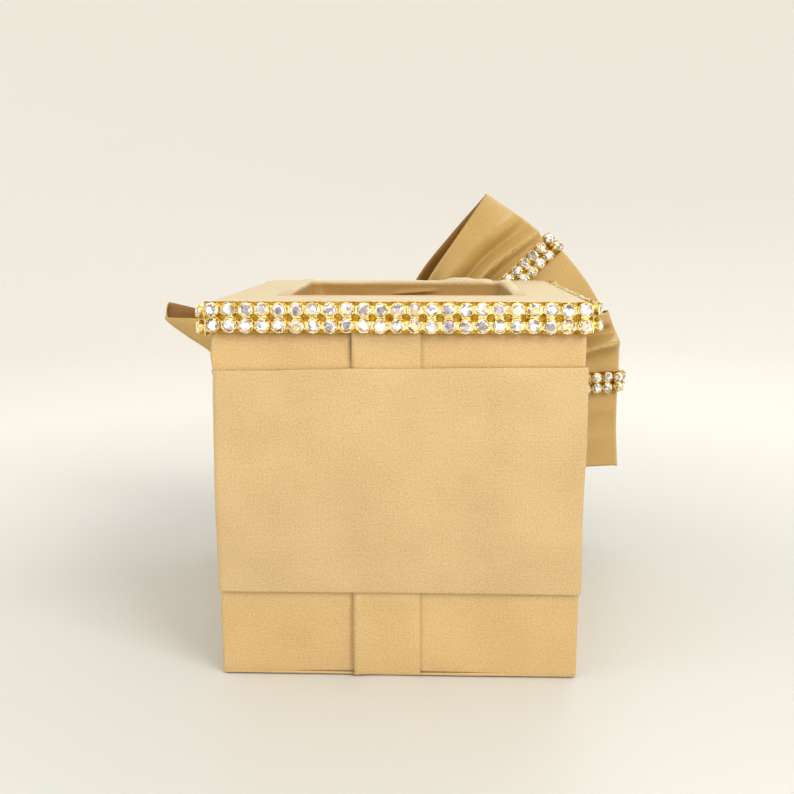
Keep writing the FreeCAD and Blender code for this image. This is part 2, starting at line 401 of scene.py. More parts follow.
def stoneMaterial():  # foil-backed crystal with painted reflections: each facet's base colour is a painted white, lilac, grey, dark or warm-gold reflection, and finer cells tint it with painted fire
    material, tree, shader = newMaterial("clearStone")
    shader.inputs["Roughness"].default_value = 0.04
    shader.inputs["IOR"].default_value = 1.75
    shader.inputs["Specular IOR Level"].default_value = 0.8
    shader.inputs["Coat Weight"].default_value = 0.6
    shader.inputs["Coat Roughness"].default_value = 0.02
    facet = tree.nodes.new("ShaderNodeAttribute")
    facet.attribute_name = "glint"
    ramp = rampOf(tree, stoneLook["paintedFacetReflections"])
    ramp.color_ramp.interpolation = "CONSTANT"
    link(tree, facet, "Fac", ramp, "Fac")
    place = tree.nodes.new("ShaderNodeTexCoord")
    spark = tree.nodes.new("ShaderNodeTexVoronoi")
    spark.inputs["Scale"].default_value = stoneLook["firesPerMetre"]
    link(tree, place, "Object", spark, "Vector")
    # painted fire: small cells tint the facets white, lilac, grey, dark and gold
    fire = rampOf(tree, stoneLook["fires"])
    fire.color_ramp.interpolation = "CONSTANT"
    apart = tree.nodes.new("ShaderNodeSeparateColor")
    link(tree, spark, "Color", apart, "Color")
    link(tree, apart, "Red", fire, "Fac")
    cut = bumpNode(tree, spark.outputs["Distance"], stoneLook["cutDepth"], 0.7)
    tree.links.new(cut, shader.inputs["Normal"])
    tintBase(tree, shader, stoneLook["fireShare"], ramp.outputs["Color"], fire.outputs["Color"])
    return material


satins = {  # colour, its shaded and lit yarn, roughness, sheen, soft creases
    "coverSatin": ((0.610, 0.410, 0.180), (0.470, 0.305, 0.120), (0.730, 0.510, 0.250), 0.46, 0.14, 1.0),
    "ribbonSatin": ((0.585, 0.412, 0.196), (0.458, 0.306, 0.132), (0.705, 0.510, 0.266), 0.40, 0.14, 2.1),
    "stripSatin": ((0.610, 0.416, 0.186), (0.475, 0.310, 0.126), (0.725, 0.512, 0.254), 0.44, 0.14, 1.2),
    "lidSatin": ((0.640, 0.525, 0.315), (0.530, 0.425, 0.240), (0.740, 0.615, 0.400), 0.48, 0.25, 1.6),
    # the bow's satin is darker and more saturated than the box's: its own colour with painted shade and
    # painted warm bounce light
    "bowSatin": ((0.505, 0.330, 0.110), (0.400, 0.250, 0.074), (0.620, 0.422, 0.164), 0.29, 0.10, 1.2),
}
coverSatin = satin("coverSatin", *satins["coverSatin"])
ribbonSatin = satin("ribbonSatin", *satins["ribbonSatin"])
stripSatin = satin("stripSatin", *satins["stripSatin"])
lidSatin = satin("lidSatin", *satins["lidSatin"])
bowSatin = satin("bowSatin", *satins["bowSatin"])
openingSatin = satin("openingSatin", *satins["lidSatin"])


# the same satin with painted shade: browner down inside the opening, and on the ribbon's reverse inside the
# loops
def paintShadeInside(material, near, far, dark, space, axis):
    tree = material.node_tree
    shader = tree.nodes["Principled BSDF"]
    ramp = shader.inputs["Base Color"].links[0].from_node
    place = tree.nodes.new("ShaderNodeTexCoord")
    apart = tree.nodes.new("ShaderNodeSeparateXYZ")
    link(tree, place, space, apart, "Vector")
    depth = tree.nodes.new("ShaderNodeMapRange")
    depth.inputs["From Min"].default_value = near
    depth.inputs["From Max"].default_value = far
    link(tree, apart, axis, depth, "Value")
    tintBase(tree, shader, depth.outputs["Result"], ramp.outputs["Color"], (*dark, 1))


paintedShadeFrom, paintedShadeFull = 128.8 * mm, 127.4 * mm  # heights between which painted shade darkens the opening's satin
reverseFrom, reverseFull = 0.7, 0.9  # the ribbon's reverse has its uv a metre further on
# painted shade: the opening's satin turns browner going down into the box
paintShadeInside(openingSatin, paintedShadeFrom, paintedShadeFull, (0.68, 0.47, 0.20), "Object", "Z")
# the ribbon's reverse, inside the loops, is browner: partly a duller reverse side, partly painted shade
paintShadeInside(bowSatin, reverseFrom, reverseFull, (0.56, 0.42, 0.25), "UV", "Y")
chipboard = boardMaterial("chipboard", (0.36, 0.25, 0.14), (0.27, 0.18, 0.10), 900, 0.85)
neckPaper = boardMaterial("neckPaper", (0.60, 0.47, 0.30), (0.54, 0.41, 0.25), 420, 0.75)
gold = goldMaterial()
crystal = stoneMaterial()
print("materials made")


trimSizes = {
    "pitch": 5.42 * mm,
    "rowPitch": 5.1 * mm,
    "bowPitch": 5.0 * mm,
    "stoneRadius": 2.32 * mm,
    "stoneSides": 8,
    "shoulderShare": 0.80,  # the crown's radius part way up, and at its flat top
    "tableShare": 0.54,
    "lowerCrown": 0.55,  # how much of the crown's height is below the shoulder
    "crownHeight": 1.15 * mm,
    "girdle": 0.35 * mm,
    "cupHeight": 2.0 * mm,
    "cupSides": 12,
    "footRadius": 1.55 * mm,
    "clawRadius": 0.40 * mm,
    "clawReach": 0.75 * mm,
    "clawLean": 0.42,
    "bar": 2.5 * mm,
    "barDepth": 0.4 * mm,
    "plateDepth": 0.25 * mm,
    "lift": 0.25 * mm,
}


def newTree(name, inputs):
    tree = bpy.data.node_groups.new(name, "GeometryNodeTree")
    face = tree.interface
    face.new_socket("Geometry", in_out="INPUT", socket_type="NodeSocketGeometry")
    sockets = {}
    for label, (kind, value) in inputs.items():
        socket = face.new_socket(label, in_out="INPUT", socket_type=kind)
        if value is not None:
            socket.default_value = value
        sockets[label] = socket.identifier
    face.new_socket("Geometry", in_out="OUTPUT", socket_type="NodeSocketGeometry")
    return tree, sockets, tree.nodes.new("NodeGroupInput"), tree.nodes.new("NodeGroupOutput")


def coneNode(tree, sides, low, high, depth):
    cone = tree.nodes.new("GeometryNodeMeshCone")
    cone.inputs["Vertices"].default_value = sides
    for socket, value in (("Radius Bottom", low), ("Radius Top", high), ("Depth", depth)):
        feed(tree, value, cone.inputs[socket])
    return cone.outputs["Mesh"]


def scaled(tree, value, factor):
    return mathNode(tree, "MULTIPLY", value, factor)


def shifted(tree, geometry, height=None, move=None, turn=None):
    node = tree.nodes.new("GeometryNodeTransform")
    tree.links.new(geometry, node.inputs["Geometry"])
    if move is not None:
        node.inputs["Translation"].default_value = move
    if turn is not None:
        node.inputs["Rotation"].default_value = turn
    if height is not None:
        combine = tree.nodes.new("ShaderNodeCombineXYZ")
        tree.links.new(height, combine.inputs["Z"])
        tree.links.new(combine.outputs["Vector"], node.inputs["Translation"])
    return node.outputs["Geometry"]


def siteVector(tree, name):
    stored = tree.nodes.new("GeometryNodeInputNamedAttribute")
    stored.data_type = "FLOAT_VECTOR"
    stored.inputs["Name"].default_value = name
    return stored


# the unit stands at every site, its Z outward and its X along the trim
def sitesToInstances(tree, source, unit, seed, wobble):
    outward = siteVector(tree, "outward")
    along = siteVector(tree, "along")
    up = tree.nodes.new("FunctionNodeAlignRotationToVector")
    up.axis = "Z"
    tree.links.new(outward.outputs["Attribute"], up.inputs["Vector"])
    turn = tree.nodes.new("FunctionNodeAlignRotationToVector")
    turn.axis = "X"
    turn.pivot_axis = "Z"
    tree.links.new(up.outputs["Rotation"], turn.inputs["Rotation"])
    tree.links.new(along.outputs["Attribute"], turn.inputs["Vector"])
    place = tree.nodes.new("GeometryNodeInstanceOnPoints")
    tree.links.new(source, place.inputs["Points"])
    tree.links.new(unit, place.inputs["Instance"])
    tree.links.new(turn.outputs["Rotation"], place.inputs["Rotation"])
    random = tree.nodes.new("FunctionNodeRandomValue")
    random.data_type = "FLOAT_VECTOR"
    random.inputs["Min"].default_value = [-w for w in wobble]
    random.inputs["Max"].default_value = wobble
    tree.links.new(seed, random.inputs["Seed"])
    tilt = tree.nodes.new("GeometryNodeRotateInstances")
    tree.links.new(place.outputs["Instances"], tilt.inputs["Instances"])
    tree.links.new(random.outputs["Value"], tilt.inputs["Rotation"])
    realize = tree.nodes.new("GeometryNodeRealizeInstances")
    tree.links.new(tilt.outputs["Instances"], realize.inputs["Geometry"])
    return realize.outputs["Geometry"]


def joined(tree, parts):
    node = tree.nodes.new("GeometryNodeJoinGeometry")
    for part in parts:
        tree.links.new(part, node.inputs["Geometry"])
    return node.outputs["Geometry"]


def faceMark(tree, name):
    mark = tree.nodes.new("GeometryNodeStoreNamedAttribute")
    mark.data_type = "FLOAT"
    mark.domain = "FACE"
    mark.inputs["Name"].default_value = name
    return mark


def paintAndEnd(tree, geometry, given, result):
    paint = tree.nodes.new("GeometryNodeSetMaterial")
    tree.links.new(geometry, paint.inputs["Geometry"])
    tree.links.new(given.outputs["Material"], paint.inputs["Material"])
    tree.links.new(paint.outputs["Geometry"], result.inputs["Geometry"])


def stoneTree():
    inputs = {
        "Stone Radius": ("NodeSocketFloat", trimSizes["stoneRadius"]),
        "Crown Height": ("NodeSocketFloat", trimSizes["crownHeight"]),
        "Girdle": ("NodeSocketFloat", trimSizes["girdle"]),
        "Cup Height": ("NodeSocketFloat", trimSizes["cupHeight"]),
        "Seed": ("NodeSocketInt", 7),
        "Material": ("NodeSocketMaterial", None),
    }
    tree, sockets, given, result = newTree("stoneTree", inputs)
    size = trimSizes
    radius, crown = given.outputs["Stone Radius"], given.outputs["Crown Height"]
    cup, edge = given.outputs["Cup Height"], given.outputs["Girdle"]
    neck = scaled(tree, radius, size["shoulderShare"])
    table = scaled(tree, radius, size["tableShare"])
    lowCrown = scaled(tree, crown, size["lowerCrown"])
    highCrown = scaled(tree, crown, 1 - size["lowerCrown"])
    girdle = coneNode(tree, size["stoneSides"], radius, radius, edge)
    lower = coneNode(tree, size["stoneSides"], radius, neck, lowCrown)
    upper = coneNode(tree, size["stoneSides"], neck, table, highCrown)
    height = mathNode(tree, "ADD", cup, edge)
    shoulder = mathNode(tree, "ADD", height, lowCrown)
    unit = joined(tree, [
        shifted(tree, girdle, cup),
        shifted(tree, lower, height),
        shifted(tree, shifted(tree, upper, turn=(0, 0, math.pi / size["stoneSides"])), shoulder),
    ])
    wobble = (0.05, 0.05, 0.4)
    whole = sitesToInstances(tree, given.outputs["Geometry"], unit, given.outputs["Seed"], wobble)
    # painted glints: a random value per face chooses which painted reflection each facet shows
    glint = faceMark(tree, "glint")
    tree.links.new(whole, glint.inputs["Geometry"])
    random = tree.nodes.new("FunctionNodeRandomValue")
    random.data_type = "FLOAT"
    tree.links.new(given.outputs["Seed"], random.inputs["Seed"])
    chosen = [output for output in random.outputs if output.enabled][0]
    tree.links.new(chosen, glint.inputs["Value"])
    paintAndEnd(tree, glint.outputs["Geometry"], given, result)
    return tree, sockets


def settingTree():
    inputs = {
        "Stone Radius": ("NodeSocketFloat", trimSizes["stoneRadius"]),
        "Foot Radius": ("NodeSocketFloat", trimSizes["footRadius"]),
        "Cup Height": ("NodeSocketFloat", trimSizes["cupHeight"]),
        "Seed": ("NodeSocketInt", 3),
        "Material": ("NodeSocketMaterial", None),
    }
    tree, sockets, given, result = newTree("settingTree", inputs)
    size = trimSizes
    pitch = size["pitch"]
    radius, high = given.outputs["Stone Radius"], given.outputs["Cup Height"]
    cup = coneNode(tree, size["cupSides"], given.outputs["Foot Radius"], scaled(tree, radius, 1.07), high)
    reach = size["girdle"] + size["clawReach"]
    claw = coneNode(tree, 6, size["clawRadius"], size["clawRadius"] * 0.8, reach)
    bead = tree.nodes.new("GeometryNodeMeshIcoSphere")
    bead.inputs["Radius"].default_value = size["clawRadius"] * 1.25
    bead.inputs["Subdivisions"].default_value = 1
    tip = shifted(tree, bead.outputs["Mesh"], move=(0, 0, reach))
    prong = shifted(tree, joined(tree, [claw, tip]), turn=(0, -size["clawLean"], 0))
    ring = tree.nodes.new("GeometryNodeMeshCircle")
    ring.inputs["Vertices"].default_value = 4
    tree.links.new(scaled(tree, radius, 1.04), ring.inputs["Radius"])
    place = tree.nodes.new("GeometryNodeInstanceOnPoints")
    tree.links.new(ring.outputs["Mesh"], place.inputs["Points"])
    tree.links.new(prong, place.inputs["Instance"])
    where = tree.nodes.new("GeometryNodeInputPosition")
    face = tree.nodes.new("FunctionNodeAlignRotationToVector")
    face.axis = "X"
    face.pivot_axis = "Z"
    tree.links.new(where.outputs["Position"], face.inputs["Vector"])
    tree.links.new(face.outputs["Rotation"], place.inputs["Rotation"])
    turned = shifted(tree, place.outputs["Instances"], turn=(0, 0, math.pi / 4))
    claws = shifted(tree, turned, high)
    bars = []
    for length, width, spot in ((pitch, size["bar"], 0), (size["bar"], pitch * 0.56, pitch * 0.25)):
        bar = tree.nodes.new("GeometryNodeMeshCube")
        bar.inputs["Size"].default_value = (length, width, size["barDepth"])
        bars.append(shifted(tree, bar.outputs["Mesh"], move=(0, spot, size["cupHeight"] * 0.12)))
    plate = tree.nodes.new("GeometryNodeMeshCube")
    plate.inputs["Size"].default_value = (pitch * 0.98, size["rowPitch"] * 0.98, size["plateDepth"])
    # painted shade: the plates' front faces are marked so the gilt there is browner, as if shaded by the
    # stones
    paintedPlateShade = faceMark(tree, "paintedPlateShade")
    facing = tree.nodes.new("GeometryNodeInputNormal")
    apart = tree.nodes.new("ShaderNodeSeparateXYZ")
    link(tree, facing, "Normal", apart, "Vector")
    front = mathNode(tree, "GREATER_THAN", apart.outputs["Z"], 0.5)
    tree.links.new(front, paintedPlateShade.inputs["Value"])
    tree.links.new(plate.outputs["Mesh"], paintedPlateShade.inputs["Geometry"])
    bars.append(shifted(tree, paintedPlateShade.outputs["Geometry"], move=(0, 0, 0.13 * mm)))
    unit = joined(tree, [cup, claws] + bars)
    wobble = (0.03, 0.03, 0.02)
    whole = sitesToInstances(tree, given.outputs["Geometry"], unit, given.outputs["Seed"], wobble)
    paintAndEnd(tree, whole, given, result)
    return tree, sockets


stones = stoneTree()
settings = settingTree()


def siteMesh(name, sites):  # where each stone sits, which way it faces and how the trim runs there
    mesh = bpy.data.meshes.new(name)
    mesh.from_pydata([tuple(site[0]) for site in sites], [], [])
    for label, k in (("outward", 1), ("along", 2)):
        attribute = mesh.attributes.new(label, "FLOAT_VECTOR", "POINT")
        values = np.array([site[k] for site in sites], np.float32)
        attribute.data.foreach_set("vector", values.ravel())
    return placed(name, mesh)


def setTrim(label, sites, seed, body, settingNode, stoneNode):
    for name, (tree, sockets), material, slot, node in (
        (label + "Settings", settings, gold, "gold_settings", settingNode),
        (label + "Stones", stones, crystal, "clear_stones", stoneNode),
    ):
        carrier = siteMesh(name + "Sites", sites)
        modifier = carrier.modifiers.new("trim", "NODES")
        modifier.node_group = tree
        modifier[sockets["Seed"]] = seed
        modifier[sockets["Material"]] = material
        evaluated = carrier.evaluated_get(bpy.context.evaluated_depsgraph_get())
        mesh = bpy.data.meshes.new_from_object(evaluated)
        mesh.name = name
        bpy.data.objects.remove(carrier)
        dress(placed(name, mesh), body, material, slot, node)


lidTrimSizes = {
    "shift": -0.3 * mm,  # the whole trim, along X
    "sink": -0.35 * mm,
    "overhang": 2 * mm,
    "shake": 0.08 * mm,
    "spring": 1.7 * mm,  # how far the side runs' ends stand off at the corners
    "springOver": 5 * mm,
}


def lidTrim():
    low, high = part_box("lid_satin")
    pitch, rowPitch = trimSizes["pitch"], trimSizes["rowPitch"]
    size = lidTrimSizes
    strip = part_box("trim_settings_front")
    middle = (strip[0].z + strip[1].z) / 2 + size["sink"]
    sides = {  # length, direction along, direction outward, face, seed, height above the others
        "Front": (high.x - low.x, (1, 0, 0), (0, -1, 0), high.y, 11, 0.0),
        "Back": (high.x - low.x, (1, 0, 0), (0, 1, 0), high.y, 12, -0.2 * mm),
        "Left": (high.y - low.y, (0, 1, 0), (-1, 0, 0), high.x, 13, -1.0 * mm),
        "Right": (high.y - low.y, (0, 1, 0), (1, 0, 0), high.x, 14, 0.35 * mm),
    }
    for side, (length, along, out, face, seed, above) in sides.items():
        rng = np.random.default_rng(seed)
        count = round((length + size["overhang"]) / pitch)
        run, out = np.array(along, float), np.array(out, float)
        sites = []
        for i in range(count):
            for row in (-0.5, 0.5):
                shake = rng.normal(0, size["shake"], 3)
                fromEnd = min(i, count - 1 - i) * pitch
                spring = size["spring"] * bump(fromEnd, 0, size["springOver"]) * (abs(out[0]) > 0.5)
                place = run * (i - (count - 1) / 2) * pitch + out * (face + trimSizes["lift"] + spring)
                place = place + np.array((size["shift"], 0, middle + above + row * rowPitch)) + shake
                turned = run if np.cross(out, run)[2] * row < 0 else -run
                sites.append((place, out, turned))
        name = side.lower()
        setTrim("trim" + side, sites, seed, "lid", "trim_settings_" + name, "trim_stones_" + name)


lidTrim()
print("lid trim set")


sideCover = {
    "corner": 1.2 * mm,
    "thickness": 0.4 * mm,
    "ripple": 0.12 * mm,
    "hem": 0.45 * mm,
    "hang": 1.25 * mm,  # how far it hangs over the base's edge
    "footLift": 0.95 * mm,  # the hem rides up beside the strip
    "footDrop": 0.35 * mm,
    "loose": 1.1 * mm,  # how far it stands off the wall near the top of the left side
    "looseRise": (101 * mm, 110 * mm),
    "looseFade": (112 * mm, 117 * mm),
    "grooves": [(-15.6 * mm, 0.8 * mm, 0.42 * mm), (7.6 * mm, 0.45 * mm, 0.15 * mm)],  # place, width, depth
}


def makeSideCover():
    low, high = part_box("side_satin")
    path, outs = roundedPath(high.x, high.y, sideCover["corner"], 220, 6)
    run = lengthsAlong(path, True)[:-1]
    hem = sideCover["hem"]
    foot = low.z - sideCover["hang"]
    heights = np.concatenate([
        foot + hem * (1 - np.cos(np.linspace(0, math.pi / 2, 5))),
        np.linspace(foot + hem, high.z, 30)[1:],
    ])
    groove = np.zeros(len(path))
    for place, width, depth in sideCover["grooves"]:
        groove += depth * bump(path[:, 0], place, width) * (np.abs(outs[:, 1]) > 0.9)
    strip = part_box("vertical_ribbon")
    nearStrip = bump(path[:, 0], (strip[0].x + strip[1].x) / 2, 44 * mm) * (np.abs(outs[:, 1]) > 0.5)
    footWave = 0.18 * mm * drift(run, 0, 8, 45 * mm)
    footWave = footWave + sideCover["footLift"] * nearStrip - sideCover["footDrop"]
    grid = np.zeros((len(heights), len(path), 3))
    for i, z in enumerate(heights):
        tuck = hem * (1 - math.sqrt(max(0.0, 1 - (1 - min((z - foot) / hem, 1.0)) ** 2)))
        flatness = ease(0, 6 * mm, z - foot)
        wave = sideCover["ripple"] * drift(run, z, 5, 38 * mm) * flatness
        above = float(ease(*sideCover["looseRise"], z) * (1 - 0.95 * ease(*sideCover["looseFade"], z)))
        loose = sideCover["loose"] * above * np.clip(-outs[:, 0], 0, 1)
        grid[i, :, :2] = path + outs * (wave + loose - tuck - groove)[:, None]
        grid[i, :, 2] = z + footWave * (1 - ease(0, 10 * mm, z - foot))
    piece = clothMesh("sideCover", grid, sheetUv(grid), closed=True, flip=True)
    thicken(piece, sideCover["thickness"])
    dress(piece, "box", coverSatin, "cover_satin", "side_satin")


baseCover = {
    "corner": 1.2 * mm,
    "floorGap": 0.42 * mm,
    "round": 0.6 * mm,
    "lipRound": 0.4 * mm,
    "lipIn": 3.0 * mm,
    "wave": 0.10 * mm,
    "dip": 0.56,  # how much lower the turned-up edge is beside the strip
    "dipWidth": 42 * mm,
    "cloth": 0.3 * mm,
}


def makeBaseCover():
    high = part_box("base_satin")[1]
    bottom, corner = baseCover["floorGap"], baseCover["corner"]
    r, lip = baseCover["round"], baseCover["lipRound"]
    strip = (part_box("vertical_ribbon")[0].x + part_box("vertical_ribbon")[1].x) / 2
    arc = np.linspace(0, math.pi / 2, 6)
    edge = [(-r + r * math.sin(a), bottom + r - r * math.cos(a)) for a in arc]
    edge = edge + [(-lip + lip * math.cos(a), high.z - lip + lip * math.sin(a)) for a in arc]
    edge.append((-baseCover["lipIn"], high.z - 0.05 * mm))
    rows = []
    for share in (0.25, 0.6, 0.9):  # rings under the box, inside its edge
        path = roundedPath(high.x * share, high.y * share, corner * share, 60, 5)[0]
        rows.append(np.column_stack([path, np.full(len(path), bottom)]))
    path, outs = roundedPath(high.x - 0.1 * mm, high.y - 0.1 * mm, corner, 60, 5)
    wave = baseCover["wave"] * drift(lengthsAlong(path, True)[:-1], 0, 21, 50 * mm)
    dip = bump(path[:, 0], strip, baseCover["dipWidth"]) * (np.abs(outs[:, 1]) > 0.5)
    for inset, z in edge:
        level = bottom + (z - bottom) * (1 - baseCover["dip"] * dip)
        rows.append(np.column_stack([path + outs * (inset + wave * (inset > -r))[:, None], level]))
    grid = np.array(rows)
    piece = clothMesh("baseCover", grid, sheetUv(grid), closed=True, flip=True)
    closeEnds(piece, grid.shape[1], ("first",))
    thicken(piece, baseCover["cloth"])
    dress(piece, "box", coverSatin, "cover_satin", "base_satin")


wideBand = {
    "corner": 1.5 * mm,
    "stand": 1.35 * mm,
    "hem": 0.42 * mm,
    "hemDepth": 2.4 * mm,
    "wave": 0.42 * mm,
    "lean": 0.012,  # the top edge rises to the right, by this share of the way
    "slack": 0.55 * mm,
    "topSlack": 0.40 * mm,
    "cloth": 0.2 * mm,
}


def makeWideBand():
    low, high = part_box("wide_ribbon_band")
    size, wide = wideBand, high.z - low.z
    stand, hem = size["stand"], size["hem"]
    path, outs = roundedPath(high.x - 0.5 * mm, high.y - 0.5 * mm, size["corner"], 72, 7)
    run = lengthsAlong(path, True)[:-1]
    arc = np.linspace(0, math.pi / 2, 6)
    # depth out from the wall and height in the band, from the top fold down the face to the lower fold
    top = [(stand - 0.55 * mm, -size["hemDepth"]), (stand - 0.55 * mm, -hem)]
    top = top + [(stand - hem + hem * math.sin(a), -hem + hem * math.cos(a)) for a in arc]
    face = [(stand, z) for z in np.linspace(-hem, -wide + hem, 40)[1:-1]]
    foot = [(out, -wide - fall) for out, fall in top[::-1]]
    topWave = 0.45 * drift(run, 0, 31, 90 * mm) + 0.22 * drift(run, 0, 35, 28 * mm)
    rise = path[:, 0] * np.clip(-path[:, 1] / high.y, -1, 1) * size["lean"]
    topWave = size["wave"] * topWave + rise
    footWave = size["wave"] * 0.6 * drift(run, 0, 32, 150 * mm)
    rows = []
    for out, fall in top + face + foot:
        share = -fall / wide
        place = share * 76 * mm
        z = high.z + fall + topWave * (1 - share) + footWave * share
        slack = size["slack"] * drift(run, place, 33, 60 * mm) * math.sin(math.pi * min(max(share, 0), 1))
        nearTop = math.exp(-share / 0.16) * (share > 0.01)
        slack = slack + size["topSlack"] * drift(run, place, 34, 26 * mm) * nearTop
        rows.append(np.column_stack([path + outs * (out - 0.5 * mm + slack)[:, None], z]))
    grid = np.array(rows)
    piece = clothMesh("wideBand", grid, sheetUv(grid), closed=True)
    thicken(piece, size["cloth"])
    dress(piece, "box", ribbonSatin, "box_ribbon", "wide_ribbon_band")


uprightRibbon = {
    "bend": 1.3 * mm,
    "lift": 0.35 * mm,
    "edgeLift": 1.0 * mm,
    "wave": 0.2 * mm,
    "sideWave": 0.25 * mm,
    "cloth": 0.35 * mm,
}


def makeUprightRibbon():
    low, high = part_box("vertical_ribbon")
    size, bend = uprightRibbon, uprightRibbon["bend"]
    half = (high.x - low.x) / 2
    middle = (high.x + low.x) / 2
    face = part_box("side_satin")[1].y
    heights = np.linspace(high.z, low.z + bend, 60)
    down = [(-face, z) for z in heights]
    looks = [(-1, 0)] * len(heights)
    for a in np.linspace(0, math.pi / 2, 7)[1:]:
        down.append((-face + bend - bend * math.cos(a), low.z + bend - bend * math.sin(a)))
        looks.append((-math.cos(a), -math.sin(a)))
    under = [(y, low.z) for y in np.linspace(-face + bend, face - bend, 40)[1:]]
    line = down + under + [(-y, z) for y, z in down[::-1][1:]]  # down, under the base and up again
    facing = looks + [(0, -1)] * len(under) + [(-y, z) for y, z in looks[::-1][1:]]
    across = np.linspace(-1, 1, 17)
    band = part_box("wide_ribbon_band")
    grid = np.zeros((len(line), len(across), 3))
    for i, ((y, z), (fy, fz)) in enumerate(zip(line, facing)):
        free = float(ease(0, 5 * mm, band[0].z - z) + ease(0, 5 * mm, z - band[1].z))
        curl = np.abs(across) ** 3 * size["edgeLift"] * (0.6 - 0.4 * across)
        wave = size["wave"] * drift(z, across * half, 41, 30 * mm)
        standing = 0.0 * across
        if fz > -0.5:
            standing = size["lift"] + (curl + wave) * free * abs(fy)
        side = size["sideWave"] * drift(z, 0, 44, 70 * mm)
        grid[i, :, 0] = middle + across * half + side
        grid[i, :, 1] = y + fy * standing
        grid[i, :, 2] = z
    grid[:, :, 2] = np.clip(grid[:, :, 2], low.z, high.z)
    piece = clothMesh("uprightRibbon", grid, sheetUv(grid), flip=True)
    thicken(piece, size["cloth"])
    dress(piece, "box", stripSatin, "box_ribbon", "vertical_ribbon")


makeSideCover()
makeBaseCover()
makeWideBand()
makeUprightRibbon()
print("box covered")


lidCover = {
    "corner": 1.2 * mm,
    "innerCorner": 0.6 * mm,
    "round": 0.8 * mm,
    "sag": 0.12 * mm,
    "ripple": 0.10 * mm,
    "cloth": 0.35 * mm,
}


def makeLidCover():
    low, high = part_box("lid_satin")
    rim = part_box("opening_lining")[1]
    size, r = lidCover, lidCover["round"]
    rows = []
    outerX, outerY = high.x - r, high.y - r
    for share in np.linspace(0, 1, 22):
        halfX = rim.x + (outerX - rim.x) * share
        halfY = rim.y + (outerY - rim.y) * share
        corner = size["innerCorner"] + share * (size["corner"] - size["innerCorner"])
        path = roundedPath(halfX, halfY, corner, 48, 5)[0]
        wave = size["ripple"] * drift(path[:, 0], path[:, 1], 51, 26 * mm) * math.sin(math.pi * share)
        sag = -size["sag"] * math.sin(math.pi * share) ** 2
        rows.append(np.column_stack([path, high.z + sag + wave]))
    for a in np.linspace(0, math.pi / 2, 7)[1:]:
        inset = r - r * math.sin(a)
        path = roundedPath(high.x - inset, high.y - inset, size["corner"], 48, 5)[0]
        rows.append(np.column_stack([path, np.full(len(path), high.z - r + r * math.cos(a))]))
    for z in np.linspace(high.z - r, low.z, 10)[1:]:
        path = roundedPath(high.x, high.y, size["corner"], 48, 5)[0]
        rows.append(np.column_stack([path, np.full(len(path), z)]))
    grid = np.array(rows)
    piece = clothMesh("lidCover", grid, sheetUv(grid), closed=True)
    thicken(piece, size["cloth"])
    dress(piece, "lid", lidSatin, "cover_satin", "lid_satin")


opening = {
    "inset": 0.8 * mm,
    "corner": 5.0 * mm,
    "soften": 5.0 * mm,  # how much rounder the corners get on the way down
    "rimTurn": 0.92,  # share of a half turn that the cloth takes over the rim
    "uneven": 0.6 * mm,
    "swell": (21 * mm, 7 * mm, 0.9 * mm),  # place along the far side, width, height
    "pucker": 0.5 * mm,
    "fold": 1.3 * mm,
    "fineFold": 0.45 * mm,
    "tuck": (0.9 * mm, 1.6 * mm),  # depth and width of the slanting tuck
    "crease": (124.5 * mm, 3.5 * mm, 1.3 * mm),  # height, place and depth of the crease in the near side
    "gather": (0.8 * mm, 7 * mm),  # depth and spacing on the right side
    "cloth": 0.35 * mm,
}


